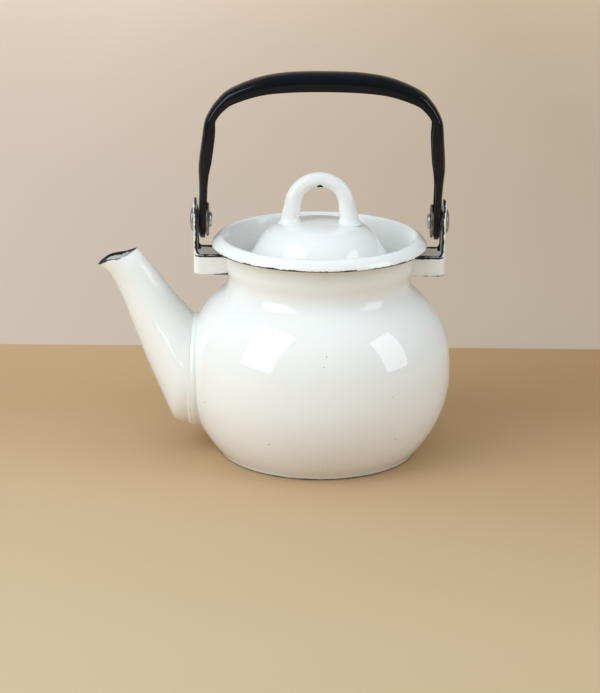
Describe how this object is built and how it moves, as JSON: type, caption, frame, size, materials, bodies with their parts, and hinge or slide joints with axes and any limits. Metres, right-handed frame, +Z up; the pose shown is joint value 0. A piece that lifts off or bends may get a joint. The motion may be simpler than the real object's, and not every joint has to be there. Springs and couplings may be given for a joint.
{
  "type": "tea kettle",
  "caption": "Round enamelled steel tea kettle with a raised spout, a swinging bail handle and a lift-off domed lid with a finger loop.",
  "frame": {"origin": "centre of the underside of the flat base", "axes": "+Z up; -X is the way the spout points; the handle's pivot axis runs along X"},
  "size_m": [0.213, 0.16, 0.2305],
  "materials": {
    "white_enamel": "glossy fired enamel",
    "black_enamel": "glossy fired enamel",
    "bright_steel": "worn bright"
  },
  "bodies": {
    "kettle": {"kettle_body": "white_enamel", "spout": "white_enamel", "front_bracket": "white_enamel", "rear_bracket": "white_enamel", "front_rivet": "bright_steel", "rear_rivet": "bright_steel", "front_inner_washer": "bright_steel", "rear_inner_washer": "bright_steel", "front_outer_washer": "bright_steel", "rear_outer_washer": "bright_steel"},
    "handle": {"handle": "black_enamel"},
    "lid": {"lid_shell": "white_enamel", "lid_loop": "white_enamel"}
  },
  "joints": [
    {"name": "handle_swing", "type": "hinge", "parent": "kettle", "child": "handle", "pos_m": [0, 0, 0.142], "axis": [1, 0, 0], "range_deg": [-115, 115]},
    {"name": "lid_lift", "type": "slide", "parent": "kettle", "child": "lid", "axis": [0, 0, 1], "range_m": [0, 0.04]}
  ]
}
